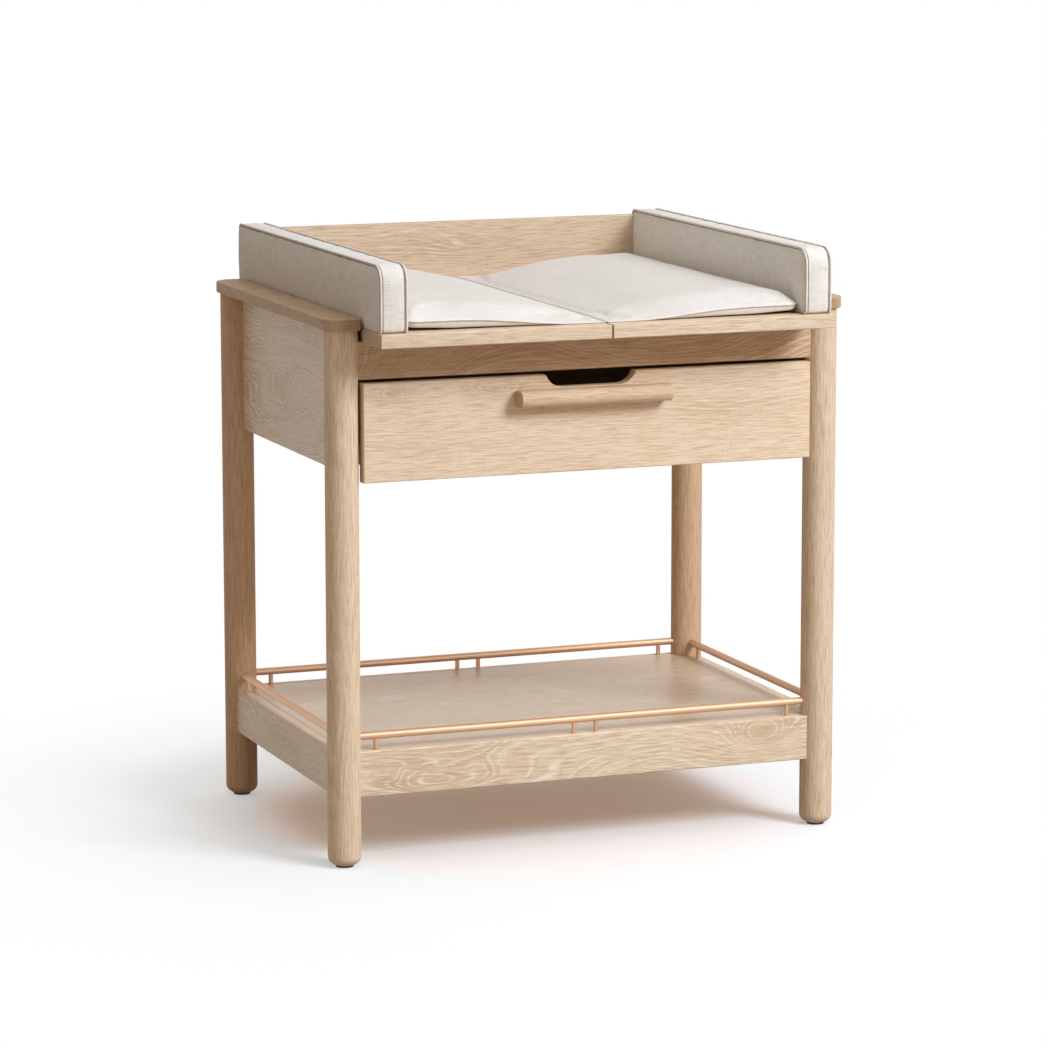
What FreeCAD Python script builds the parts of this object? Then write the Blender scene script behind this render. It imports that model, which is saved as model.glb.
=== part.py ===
"""Changing dresser: an oak frame on four round legs, with a low shelf inside a metal
gallery rail, one wide drawer on telescopic runners and a padded changing top.

Millimetres, X to the right, Y to the back, Z up. The origin is on the floor, under the
middle of the whole object, which reaches further forward than back: the changing top
overhangs the front legs.
"""
import FreeCAD, Part

import math
import os
import re

import Sketcher

# Every driving size, in millimetres.
SIZES = {
    # round legs, and the caps that join them in pairs
    "leg_diameter": 53,
    "leg_spacing_x": 814,
    "leg_spacing_y": 545,
    "foot_shoulder_round": 13,
    "foot_crown_round": 36,
    "frame_height": 870,
    "cap_thickness": 18,
    "cap_width": 55,
    "cap_side_lip": 5.5,
    "cap_end_lip": 8,
    "cap_inner_round": 6,
    "tenon_width": 24,
    "tenon_height": 12,
    "glide_diameter": 28,
    "glide_height": 2.5,
    # boards that stand in stopped housings in the legs
    "housing_depth": 8,
    "board_setout": 13.5,
    "edge_break": 1.2,
    "side_panel_thickness": 18,
    "side_panel_inset": 2.5,
    "panel_height": 227,
    "back_panel_thickness": 18,
    "front_rail_thickness": 20,
    "front_rail_height": 59.5,
    # changing top
    "leaf_drop": 16.5,
    "leaf_thickness": 21.5,
    "leaf_split": 3.5,
    "leaf_leg_gap": 0.5,
    "leg_relief": 6,
    "front_overhang": 90,
    "back_overhang": 50,
    "relief_setback": 3,
    "back_board_thickness": 18,
    "back_board_height": 96.5,
    "back_board_margin": 2,
    "back_board_housing": 6,
    "cleat_width": 30,
    "cleat_height": 20,
    "cleat_end_gap": 6,
    "bearer_width": 44,
    "bearer_height": 32,
    # loose soft goods
    "soft_clearance": 0.5,
    "bolster_thickness": 49,
    "bolster_height": 103,
    "bolster_setback": 13,
    "bolster_cap_gap": 3.5,
    "bolster_round": 25,
    "mat_setback": 28,
    "mat_side_gap": 2,
    "mat_valley_gap": 2,
    "mat_valley_height": 3,
    "mat_crown_reach": 150,
    "mat_crown_height": 34,
    "mat_seam_height": 15,
    "mat_edge_tuck": 12,
    "mat_inner_arc": 380,
    "mat_outer_arc": 400,
    "mat_edge_arc": 18,
    # drawer
    "drawer_side_gap": 1.5,
    "drawer_top_gap": 5.5,
    "drawer_front_height": 155,
    "drawer_front_thickness": 20,
    "drawer_front_setback": 1.5,
    "notch_width": 152,
    "notch_flat": 94,
    "notch_depth": 20,
    "notch_arc": 31,
    "handle_length": 256,
    "handle_height": 26.5,
    "handle_depth": 33,
    "handle_nose_flat": 0.5,
    "handle_back_round": 5,
    "handle_centre_drop": 34,
    "drawer_box_height": 106,
    "drawer_box_lift": 20,
    "drawer_wall": 14,
    "drawer_bottom_thickness": 6,
    "drawer_bottom_lift": 12,
    "drawer_groove_depth": 6,
    "drawer_housing_depth": 6,
    "drawer_back_inset": 12,
    # telescopic runners
    "batten_clearance": 1.5,
    "batten_height": 60,
    "batten_end_gap": 4,
    "runner_length": 450,
    "runner_space": 12.7,
    "runner_height": 45,
    "runner_sheet": 1.4,
    "runner_race": 3.2,
    "runner_play": 0.3,
    "runner_web_gap": 0.6,
    "cage_length": 270,
    # shelf
    "apron_top": 184,
    "apron_height": 72.5,
    "apron_thickness": 20,
    "shelf_thickness": 18,
    "shelf_leg_gap": 1,
    "shelf_batten_size": 16,
    # gallery rail
    "gallery_bar_diameter": 12,
    "gallery_bar_seat": 10,
    "gallery_rise": 22.7,
    "gallery_post_diameter": 7.5,
    "gallery_post_seat": 8,
    "gallery_post_leg_gap": 26.5,
    "gallery_post_side_gap": 28,
    "gallery_post_half_pair": 19,
}

# Places worked out from those sizes.
LEG_R = "(leg_diameter / 2)"
LEG_X = "(leg_spacing_x / 2)"
CENTRE_Y = "((front_overhang - back_overhang) / 2)"
LEG_REACH_Y = "(leg_spacing_y / 2)"
CAP_UNDER = "(frame_height - cap_thickness)"
LEAF_TOP = "(frame_height - leaf_drop)"
LEAF_UNDER = f"({LEAF_TOP} - leaf_thickness)"

SETOUT_CHORD = f"sqrt({LEG_R} ^ 2 - board_setout ^ 2)"
INSET_CHORD = f"sqrt({LEG_R} ^ 2 - side_panel_inset ^ 2)"
CROSS_HALF = f"({LEG_X} - {SETOUT_CHORD} + housing_depth)"
APRON_SIDE_HALF = f"({LEG_REACH_Y} - {SETOUT_CHORD} + housing_depth)"
PANEL_SIDE_HALF = f"({LEG_REACH_Y} - {INSET_CHORD} + housing_depth)"
BOARD_REACH_Y = f"({LEG_REACH_Y} + board_setout)"
SIDE_PANEL_OUTER = f"({LEG_X} - side_panel_inset)"
SIDE_PANEL_INNER = f"({SIDE_PANEL_OUTER} - side_panel_thickness)"

CAP_OUTER = f"({LEG_X} + {LEG_R} + cap_side_lip)"
CAP_INNER = f"({CAP_OUTER} - cap_width)"
CAP_REACH_Y = f"({LEG_REACH_Y} + {LEG_R} + cap_end_lip)"

LEAF_END = f"({LEG_X} - {LEG_R} - leaf_leg_gap)"
LEAF_FRONT = f"({CENTRE_Y} - {LEG_REACH_Y} - {LEG_R} - front_overhang)"
LEAF_SHOULDER = f"({CENTRE_Y} - {LEG_REACH_Y} - {LEG_R} + relief_setback)"
LEAF_BACK = f"({CENTRE_Y} + {LEG_REACH_Y} + {LEG_R} + back_overhang)"

BOLSTER_OUTER = f"({CAP_INNER} - bolster_cap_gap)"
BOLSTER_INNER = f"({BOLSTER_OUTER} - bolster_thickness)"
BOARD_BACK = f"({LEAF_BACK} - back_board_margin)"
BOARD_FRONT = f"({BOARD_BACK} - back_board_thickness)"

PANEL_BOTTOM = f"({CAP_UNDER} - panel_height)"
RAIL_BOTTOM = f"({LEAF_UNDER} - front_rail_height)"

DRAWER_HALF = f"({LEG_X} - {LEG_R} - drawer_side_gap)"
DRAWER_TOP = f"({RAIL_BOTTOM} - drawer_top_gap)"
DRAWER_BOTTOM = f"({DRAWER_TOP} - drawer_front_height)"
DRAWER_FACE = f"({CENTRE_Y} - {LEG_REACH_Y} - {LEG_R} + drawer_front_setback)"
DRAWER_INSIDE = f"({DRAWER_FACE} + drawer_front_thickness)"
BATTEN_INNER = f"({LEG_X} - {LEG_R} - batten_clearance)"
BOX_OUTER = f"({BATTEN_INNER} - runner_space)"
BOX_INNER = f"({BOX_OUTER} - drawer_wall)"
BOX_LOW = f"({DRAWER_BOTTOM} + drawer_box_lift)"
BOX_HIGH = f"({BOX_LOW} + drawer_box_height)"
HANDLE_Z = f"({DRAWER_TOP} - handle_centre_drop)"
RUNNER_Z = f"(({BOX_LOW} + {BOX_HIGH}) / 2)"
BATTEN_HALF = f"({LEG_REACH_Y} - {LEG_R} - batten_end_gap)"
RUNNER_FRONT = f"({CENTRE_Y} - {BATTEN_HALF})"
BOX_BACK = f"({RUNNER_FRONT} + runner_length)"
BACK_INSIDE = f"({BOX_BACK} - drawer_back_inset - drawer_wall)"

BAR_Z = "(apron_top + gallery_rise)"

AXES = {"x": FreeCAD.Rotation(FreeCAD.Vector(0, 1, 0), 90),
        "y": FreeCAD.Rotation(FreeCAD.Vector(1, 0, 0), -90),
        "z": FreeCAD.Rotation()}
SIDES = {"left": -1, "right": 1}
ENDS = {"front": -1, "back": 1}

doc = FreeCAD.newDocument("changing_dresser")
sheet = doc.addObject("Spreadsheet::Sheet", "Sizes")
for row, (alias, number) in enumerate(SIZES.items(), start=1):
    sheet.set(f"A{row}", alias)
    sheet.set(f"B{row}", str(number))
    sheet.setAlias(f"B{row}", alias)
doc.recompute()

pieces = []


# ---- helpers -------------------------------------------------------------------------

def tied(expression):
    """The expression with every size in it pointed at its cell of the sheet."""
    return re.sub(r"[a-z]\w*", lambda word: f"Sizes.{word[0]}" if word[0] in SIZES else word[0],
                  str(expression))


def value(expression):
    """What an expression of sizes comes to, in millimetres."""
    return float(sheet.evalExpression(tied(expression)))


def mirrored(sign, low, high):
    """A range on the positive side of the middle, or the same range on the other side."""
    return (low, high) if sign > 0 else (f"-({high})", f"-({low})")


def about(centre, sign, low, high):
    """A range measured outward from a centre, on the side that the sign names."""
    near, far = mirrored(sign, low, high)
    return f"{centre} + ({near})", f"{centre} + ({far})"


def evenly(centre, reach):
    """The range that reaches as far on both sides of a centre."""
    return f"{centre} - ({reach})", f"{centre} + ({reach})"


def place(thing, spans):
    """Tie the lowest corner of a block, and its three sides, to their ranges."""
    for side, axis, (low, high) in zip(("Length", "Width", "Height"), "xyz", spans):
        thing.setExpression(side, tied(f"({high}) - ({low})"))
        thing.setExpression(f"Placement.Base.{axis}", tied(low))


def keep(piece, name):
    """Name a finished sub-part, which gets a file of its own."""
    piece.Label = name
    pieces.append(piece)
    return piece


def plain(name, *spans):
    """A square-edged board between two x, two y and two z."""
    block = doc.addObject("Part::Box", name)
    place(block, spans)
    return block


def board(name, *spans, along):
    """A board whose edges along some axes are broken by hand."""
    body = doc.addObject("PartDesign::Body", name)
    place(body.newObject("PartDesign::AdditiveBox", f"{name}_block"), spans)
    broken(body, lambda edge: runs(edge) in along)
    return body


def runs(edge):
    """The axis that a straight edge lies along, or nothing."""
    if not isinstance(edge.Curve, Part.Line):
        return " "
    along = edge.Curve.Direction
    return max("xyz", key=lambda axis: abs(getattr(along, axis)))


def dressed(body, kind, size_name, size, wanted):
    """Fillet or chamfer the edges of a body's last feature that a test picks."""
    doc.recompute()
    last = body.Tip
    names = [f"Edge{number}" for number, edge in enumerate(last.Shape.Edges, start=1)
             if wanted(edge)]
    feature = body.newObject(f"PartDesign::{kind}", f"{body.Name}_{kind}")
    feature.Base = (last, names)
    feature.setExpression(size_name, tied(size))
    doc.recompute()


def rounded(body, radius, wanted):
    """Round the picked edges."""
    dressed(body, "Fillet", "Radius", radius, wanted)


def broken(body, wanted):
    """Break the sharpness of the picked edges with a narrow flat."""
    dressed(body, "Chamfer", "Size", "edge_break", wanted)


def arc_between(start, end, radius):
    """The short arc of a radius; a positive one turns left on its way, a negative one right."""
    chord = end - start
    middle = (start + end) / 2
    rise = math.sqrt(radius ** 2 - (chord.Length / 2) ** 2)
    left = FreeCAD.Vector(-chord.y, chord.x, 0).normalize()
    centre = middle + left * math.copysign(rise, radius)
    first, last = (start, end) if radius > 0 else (end, start)
    angles = [math.atan2(point.y - centre.y, point.x - centre.x) for point in (first, last)]
    circle = Part.Circle(centre, FreeCAD.Vector(0, 0, 1), abs(radius))
    return Part.ArcOfCircle(circle, *angles)


def outline(body, role, offset, corners):
    """A closed sketch on one of a body's own planes. A corner is (x, y), or (x, y, radius)
    where the stretch to the next corner is an arc. A "0" keeps it on that axis."""
    sketch = body.newObject("Sketcher::SketchObject", f"{body.Name}_outline")
    flat = next(one for one in body.Origin.OriginFeatures if one.Role == role)
    sketch.AttachmentSupport = (flat, [""])
    sketch.MapMode = "FlatFace"
    sketch.setExpression("AttachmentOffset.Base.z", tied(offset))
    points = [FreeCAD.Vector(value(corner[0]), value(corner[1]), 0) for corner in corners]
    ends = []
    for number, corner in enumerate(corners):
        start, end = points[number], points[(number + 1) % len(points)]
        if len(corner) == 2:
            sketch.addGeometry(Part.LineSegment(start, end), False)
            ends.append((1, 2))
        else:
            radius = value(corner[2])
            sketch.addGeometry(arc_between(start, end, radius), False)
            ends.append((1, 2) if radius > 0 else (2, 1))
            held = sketch.addConstraint(Sketcher.Constraint("Radius", number, abs(radius)))
            sketch.setExpression(f"Constraints[{held}]", tied(f"abs({corner[2]})"))
    for number, corner in enumerate(corners):
        after = (number + 1) % len(corners)
        sketch.addConstraint(Sketcher.Constraint("Coincident", number, ends[number][1],
                                                 after, ends[after][0]))
        point = (number, ends[number][0])
        for kind, size, axis in zip(("DistanceX", "DistanceY"), corner, (-2, -1)):
            if size == "0":
                sketch.addConstraint(Sketcher.Constraint("PointOnObject", *point, axis))
                continue
            held = sketch.addConstraint(Sketcher.Constraint(kind, -1, 1, *point, value(size)))
            sketch.setExpression(f"Constraints[{held}]", tied(size))
    return sketch


def profiled(name, role, offset, length, corners):
    """A body of one even thickness, padded from an outline."""
    body = doc.addObject("PartDesign::Body", name)
    sketch = outline(body, role, offset, corners)
    pad = body.newObject("PartDesign::Pad", f"{name}_pad")
    pad.Profile = sketch
    pad.setExpression("Length", tied(length))
    doc.recompute()
    return body


def rod(name, axis, diameter, start, length):
    """A plain round bar from a start point along an axis."""
    bar = doc.addObject("Part::Cylinder", name)
    bar.Placement.Rotation = AXES[axis]
    bar.setExpression("Radius", tied(f"({diameter}) / 2"))
    bar.setExpression("Height", tied(length))
    for letter, coordinate in zip("xyz", start):
        bar.setExpression(f"Placement.Base.{letter}", tied(coordinate))
    return bar


def joined(name, members):
    """Several solids as one, or the only one."""
    if len(members) == 1:
        return members[0]
    whole = doc.addObject("Part::MultiFuse", name)
    whole.Shapes = members
    return whole


def group(name, members):
    """Like pieces that stay separate solids in one node."""
    crowd = doc.addObject("Part::Compound", name)
    crowd.Links = members
    return crowd


def fitted(name, blank, others):
    """A piece with room cut in it for the pieces that seat in it."""
    piece = doc.addObject("Part::Cut", name)
    piece.Base = blank
    piece.Tool = joined(f"{name}_room", others)
    return piece


# ---- changing top ----------------------------------------------------------------------

def make_leaf(side, sign):
    """One of the two top boards, with a step in its end that clears the legs and caps."""
    inner, outer = "leaf_split / 2", LEAF_END
    narrow = f"{LEAF_END} - leg_relief"
    right = [(inner, LEAF_FRONT), (outer, LEAF_FRONT), (outer, LEAF_SHOULDER),
             (narrow, LEAF_SHOULDER), (narrow, LEAF_BACK), (inner, LEAF_BACK)]
    corners = right if sign > 0 else [(f"-({x})", y) for x, y in reversed(right)]
    body = profiled(f"leaf_{side}_blank", "XY_Plane", LEAF_UNDER, "leaf_thickness", corners)
    broken(body, lambda edge: runs(edge) in "xy")
    return body


def make_cleat(side, sign):
    """A strip along the inside of a side panel, under the end of a leaf."""
    across = mirrored(sign, f"{SIDE_PANEL_INNER} - cleat_width", SIDE_PANEL_INNER)
    along = evenly(CENTRE_Y, f"{LEG_REACH_Y} - {LEG_R} - cleat_end_gap")
    strip = plain(f"cleat_{side}_strip", across, along,
                  (f"{LEAF_UNDER} - cleat_height", LEAF_UNDER))
    return keep(strip, f"top_cleat_{side}")


def make_bolster(side, sign):
    """The room that a side bolster takes up: a box cushion with a rounded front top corner."""
    body = doc.addObject("PartDesign::Body", f"bolster_{side}")
    block = body.newObject("PartDesign::AdditiveBox", f"bolster_{side}_block")
    low = f"{LEAF_TOP} + soft_clearance"
    place(block, (mirrored(sign, BOLSTER_INNER, BOLSTER_OUTER),
                  (f"{LEAF_FRONT} + bolster_setback", BOARD_BACK),
                  (low, f"{low} + bolster_height")))
    front, top = value(f"{LEAF_FRONT} + bolster_setback"), value(f"{low} + bolster_height")

    def front_top(edge):
        middle = edge.CenterOfMass
        return math.dist((middle.y, middle.z), (front, top)) < 1e-3

    rounded(body, "bolster_round", front_top)
    return keep(body, f"bolster_{side}")


def make_mat(side, sign):
    """The room that a contoured mat takes up: almost nothing at the split, thick towards
    the bolster, with a seam part of the way up its outer edge."""
    low = f"{LEAF_TOP} + soft_clearance"
    outer = f"{BOLSTER_INNER} - mat_side_gap"
    inner = "mat_valley_gap"
    right = [(inner, low), (f"{outer} - mat_edge_tuck", low, "mat_edge_arc"),
             (outer, f"{low} + mat_seam_height", "mat_outer_arc"),
             ("mat_crown_reach", f"{low} + mat_crown_height", "mat_inner_arc"),
             (inner, f"{low} + mat_valley_height")]
    corners = right
    if sign < 0:
        corners = [(f"-({inner})", low),
                   (f"-({inner})", f"{low} + mat_valley_height", "mat_inner_arc"),
                   ("-mat_crown_reach", f"{low} + mat_crown_height", "mat_outer_arc"),
                   (f"-({outer})", f"{low} + mat_seam_height", "mat_edge_arc"),
                   (f"-({outer} - mat_edge_tuck)", low)]
    back = f"{BOARD_FRONT} - mat_side_gap"
    front = f"{LEAF_FRONT} + mat_setback"
    body = profiled(f"mat_{side}", "XZ_Plane", f"-({back})", f"({back}) - ({front})", corners)
    return keep(body, f"mat_{side}")


back_board = board("back_board_panel", evenly("0", f"{BOLSTER_INNER} - mat_side_gap"),
                   (BOARD_FRONT, BOARD_BACK),
                   (f"{LEAF_TOP} - back_board_housing", f"{LEAF_TOP} + back_board_height"),
                   along="xz")
keep(back_board, "back_board")
bearer = plain("bearer_beam", evenly("0", "bearer_width / 2"),
               (f"{CENTRE_Y} - {BOARD_REACH_Y} + front_rail_thickness",
                f"{CENTRE_Y} + {BOARD_REACH_Y} - back_panel_thickness"),
               (f"{LEAF_UNDER} - bearer_height", LEAF_UNDER))
keep(bearer, "top_bearer")
for side, sign in SIDES.items():
    keep(fitted(f"leaf_{side}_cut", make_leaf(side, sign), [back_board]), f"top_leaf_{side}")
    make_cleat(side, sign)
    make_bolster(side, sign)
    make_mat(side, sign)


# ---- drawer ----------------------------------------------------------------------------

def make_drawer_front():
    """The wide front, with a shallow finger notch let into the middle of its top edge."""
    low, high = DRAWER_BOTTOM, DRAWER_TOP
    notch = f"{DRAWER_TOP} - notch_depth"
    corners = [(f"-{DRAWER_HALF}", low), (DRAWER_HALF, low), (DRAWER_HALF, high),
               ("notch_width / 2", high, "-notch_arc"), ("notch_flat / 2", notch),
               ("-notch_flat / 2", notch, "-notch_arc"), ("-notch_width / 2", high),
               (f"-{DRAWER_HALF}", high)]
    body = profiled("drawer_front_blank", "XZ_Plane", f"-{DRAWER_INSIDE}",
                    "drawer_front_thickness", corners)
    face = value(DRAWER_FACE)
    broken(body, lambda edge: edge.BoundBox.YMax < face + 1e-3)
    return body


def make_handle():
    """A bar with a round nose, flat against the drawer front."""
    body = doc.addObject("PartDesign::Body", "drawer_handle_blank")
    block = body.newObject("PartDesign::AdditiveBox", "drawer_handle_block")
    place(block, (evenly("0", "handle_length / 2"),
                  (f"{DRAWER_FACE} - handle_depth", DRAWER_FACE),
                  evenly(HANDLE_Z, "handle_height / 2")))
    middle = value(f"{DRAWER_FACE} - handle_depth / 2")
    rounded(body, "(handle_height - handle_nose_flat) / 2",
            lambda edge: runs(edge) == "x" and edge.CenterOfMass.y < middle)
    back = value(DRAWER_FACE)
    rounded(body, "handle_back_round",
            lambda edge: runs(edge) == "x" and edge.CenterOfMass.y > back - 1e-3)
    broken(body, lambda edge: edge.BoundBox.XLength < 1e-3 and edge.BoundBox.YMin < back - 1e-3)
    return keep(body, "drawer_handle")


def channel(name, sign, back, tip, half):
    """A runner member: a C of sheet with its web at `back` and its flanges out to `tip`."""
    inward = "runner_sheet" if value(tip) > value(back) else "-runner_sheet"
    web = f"({back} + {inward})"
    low, high = f"{RUNNER_Z} - ({half})", f"{RUNNER_Z} + ({half})"
    shape = [(back, low), (tip, low), (tip, f"{low} + runner_sheet"), (web, f"{low} + runner_sheet"),
             (web, f"{high} - runner_sheet"), (tip, f"{high} - runner_sheet"), (tip, high),
             (back, high)]
    return profiled(name, "XZ_Plane", f"-({RUNNER_FRONT} + runner_length)", "runner_length",
                    [(f"{sign} * ({x})", z) for x, z in shape])


def make_cages(side, sign):
    """Four strips that hold the balls of a runner, above and below its middle member."""
    across = mirrored(sign, f"{BOX_OUTER} + 2 * runner_sheet",
                      f"{BATTEN_INNER} - 3 * runner_sheet")
    along = evenly(f"{RUNNER_FRONT} + runner_length / 2", "cage_length / 2")
    strips = []
    for level, (low, high) in {
            "outer": (MIDDLE_HALF, f"{MIDDLE_HALF} + runner_race - runner_play"),
            "inner": (f"{SLIDE_HALF} + runner_play", f"{SLIDE_HALF} + runner_race")}.items():
        for up in (-1, 1):
            heights = about(RUNNER_Z, up, low, high)
            strips.append(plain(f"cage_{side}_{level}_{up + 1}", across, along, heights))
    return group(f"cages_{side}", strips)


CABINET_HALF = "(runner_height / 2)"
MIDDLE_HALF = f"({CABINET_HALF} - runner_sheet - runner_race)"
SLIDE_HALF = f"({MIDDLE_HALF} - runner_sheet - runner_race)"
FLANGE_TIP = f"({BOX_OUTER} + runner_sheet + runner_web_gap)"
MIDDLE_BACK = f"({BATTEN_INNER} - runner_sheet - runner_web_gap)"
SLIDE_TIP = f"({MIDDLE_BACK} - runner_sheet - runner_web_gap)"

drawer_bottom = plain(
    "drawer_bottom_board", evenly("0", f"{BOX_INNER} + drawer_groove_depth"),
    (f"{DRAWER_INSIDE} - drawer_groove_depth", f"{BACK_INSIDE} + drawer_groove_depth"),
    (f"{BOX_LOW} + drawer_bottom_lift",
     f"{BOX_LOW} + drawer_bottom_lift + drawer_bottom_thickness"))
keep(drawer_bottom, "drawer_bottom")
box_back = plain("drawer_back_blank", evenly("0", f"{BOX_INNER} + drawer_housing_depth"),
                 (BACK_INSIDE, f"{BACK_INSIDE} + drawer_wall"), (BOX_LOW, BOX_HIGH))
keep(fitted("drawer_back_cut", box_back, [drawer_bottom]), "drawer_back")
box_sides = []
for side, sign in SIDES.items():
    box_sides.append(board(f"drawer_side_{side}_blank", mirrored(sign, BOX_INNER, BOX_OUTER),
                           (f"{DRAWER_INSIDE} - drawer_housing_depth", BOX_BACK),
                           (BOX_LOW, BOX_HIGH), along="y"))
    keep(fitted(f"drawer_side_{side}_cut", box_sides[-1], [drawer_bottom, box_back]),
         f"drawer_side_{side}")
    keep(plain(f"batten_{side}_strip", mirrored(sign, BATTEN_INNER, SIDE_PANEL_INNER),
               evenly(CENTRE_Y, BATTEN_HALF), evenly(RUNNER_Z, "batten_height / 2")),
         f"runner_batten_{side}")
    keep(channel(f"runner_cabinet_{side}_pad", sign, BATTEN_INNER, FLANGE_TIP, CABINET_HALF),
         f"runner_cabinet_{side}")
    keep(channel(f"runner_middle_{side}_pad", sign, MIDDLE_BACK, FLANGE_TIP, MIDDLE_HALF),
         f"runner_middle_{side}")
    keep(channel(f"runner_slide_{side}_pad", sign, BOX_OUTER, SLIDE_TIP, SLIDE_HALF),
         f"runner_slide_{side}")
    keep(make_cages(side, sign), f"runner_cages_{side}")
keep(fitted("drawer_front_cut", make_drawer_front(), [drawer_bottom, *box_sides]),
     "drawer_front")
make_handle()


# ---- boards of the frame and the shelf -----------------------------------------------------

def make_cap(side, sign):
    """A side cap. Its outer corners are round, in line with the legs under them."""
    body = doc.addObject("PartDesign::Body", f"cap_{side}_blank")
    block = body.newObject("PartDesign::AdditiveBox", f"cap_{side}_block")
    place(block, (mirrored(sign, CAP_INNER, CAP_OUTER), evenly(CENTRE_Y, CAP_REACH_Y),
                  (CAP_UNDER, "frame_height")))
    middle = value(f"({CAP_INNER} + {CAP_OUTER}) / 2")
    rounded(body, f"{LEG_R} + cap_side_lip",
            lambda edge: runs(edge) == "z" and abs(edge.CenterOfMass.x) > middle)
    rounded(body, "cap_inner_round",
            lambda edge: runs(edge) == "z" and abs(edge.CenterOfMass.x) < middle - 1)
    broken(body, lambda edge: edge.BoundBox.ZLength < 1e-3)
    return body


def make_leg(side, end, x, y):
    """A turned leg, before its housings are cut: a foot rounded in two arcs, with a flat
    for its glide, and a square tenon on top."""
    body = doc.addObject("PartDesign::Body", f"leg_{end}_{side}_blank")
    crown_z = "(glide_height + sqrt(foot_crown_round ^ 2 - (glide_diameter / 2) ^ 2))"
    inset = f"({LEG_R} - foot_shoulder_round)"
    between = "(foot_crown_round - foot_shoulder_round)"
    rise = f"sqrt({between} ^ 2 - {inset} ^ 2)"
    corners = [("0", "glide_height"), ("glide_diameter / 2", "glide_height", "foot_crown_round"),
               (f"foot_crown_round * {inset} / {between}",
                f"{crown_z} - foot_crown_round * {rise} / {between}", "foot_shoulder_round"),
               (LEG_R, f"{crown_z} - {rise}"), (LEG_R, CAP_UNDER), ("0", CAP_UNDER)]
    turned = body.newObject("PartDesign::Revolution", f"leg_{end}_{side}_turning")
    profile = outline(body, "XZ_Plane", "0", corners)
    turned.Profile = profile
    turned.ReferenceAxis = (profile, ["V_Axis"])
    turned.Angle = 360
    tenon = body.newObject("PartDesign::AdditiveBox", f"leg_{end}_{side}_tenon")
    place(tenon, (evenly("0", "tenon_width / 2"), evenly("0", "tenon_width / 2"),
                  (CAP_UNDER, f"{CAP_UNDER} + tenon_height")))
    body.setExpression("Placement.Base.x", tied(x))
    body.setExpression("Placement.Base.y", tied(y))
    return body


def make_gallery_bars():
    """Four round bars, each from leg to leg, one above each apron."""
    bars = {}
    reach_x = f"({LEG_X} - {LEG_R} + gallery_bar_seat)"
    reach_y = f"({LEG_REACH_Y} - {LEG_R} + gallery_bar_seat)"
    for end, sign in ENDS.items():
        start = (f"-{reach_x}", f"{CENTRE_Y} + {sign} * {LEG_REACH_Y}", BAR_Z)
        bars[end] = rod(f"gallery_bar_{end}_rod", "x", "gallery_bar_diameter", start,
                        f"2 * {reach_x}")
    for side, sign in SIDES.items():
        start = (f"{sign} * {LEG_X}", f"{CENTRE_Y} - {reach_y}", BAR_Z)
        bars[side] = rod(f"gallery_bar_{side}_rod", "y", "gallery_bar_diameter", start,
                         f"2 * {reach_y}")
    return bars


def make_gallery_posts():
    """The posts under the bars: two at the middle and two at the ends of the long bars, and
    one near each end of the short bars."""
    spots = {end: [] for end in (*ENDS, *SIDES)}
    for end, sign in ENDS.items():
        for x in (f"({LEG_X} - {LEG_R} - gallery_post_leg_gap)", "gallery_post_half_pair"):
            for half in (-1, 1):
                spots[end].append((f"{half} * {x}", f"{CENTRE_Y} + {sign} * {LEG_REACH_Y}"))
    for side, sign in SIDES.items():
        for half in (-1, 1):
            reach = f"({LEG_REACH_Y} - {LEG_R} - gallery_post_side_gap)"
            spots[side].append((f"{sign} * {LEG_X}", f"{CENTRE_Y} + {half} * {reach}"))
    return {where: [rod(f"gallery_post_{where}_{number}", "z", "gallery_post_diameter",
                        (x, y, "apron_top - gallery_post_seat"),
                        "gallery_rise + gallery_post_seat")
                    for number, (x, y) in enumerate(places)]
            for where, places in spots.items()}


caps = {side: make_cap(side, sign) for side, sign in SIDES.items()}
side_panels = {side: board(f"side_panel_{side}_board",
                           mirrored(sign, SIDE_PANEL_INNER, SIDE_PANEL_OUTER),
                           evenly(CENTRE_Y, PANEL_SIDE_HALF), (PANEL_BOTTOM, CAP_UNDER),
                           along="y")
               for side, sign in SIDES.items()}
cross_boards = {
    "front": board("front_rail_board", evenly("0", CROSS_HALF),
                   about(CENTRE_Y, -1, f"{BOARD_REACH_Y} - front_rail_thickness", BOARD_REACH_Y),
                   (RAIL_BOTTOM, LEAF_UNDER), along="x"),
    "back": board("back_panel_board", evenly("0", CROSS_HALF),
                  about(CENTRE_Y, 1, f"{BOARD_REACH_Y} - back_panel_thickness", BOARD_REACH_Y),
                  (PANEL_BOTTOM, LEAF_UNDER), along="x")}
aprons = {end: board(f"apron_{end}_board", evenly("0", CROSS_HALF),
                     about(CENTRE_Y, sign, f"{BOARD_REACH_Y} - apron_thickness", BOARD_REACH_Y),
                     ("apron_top - apron_height", "apron_top"), along="x")
          for end, sign in ENDS.items()}
aprons |= {side: board(f"apron_{side}_board",
                       mirrored(sign, f"{LEG_X} + board_setout - apron_thickness",
                                f"{LEG_X} + board_setout"),
                       evenly(CENTRE_Y, APRON_SIDE_HALF),
                       ("apron_top - apron_height", "apron_top"), along="y")
           for side, sign in SIDES.items()}
bars = make_gallery_bars()
posts = make_gallery_posts()

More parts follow.
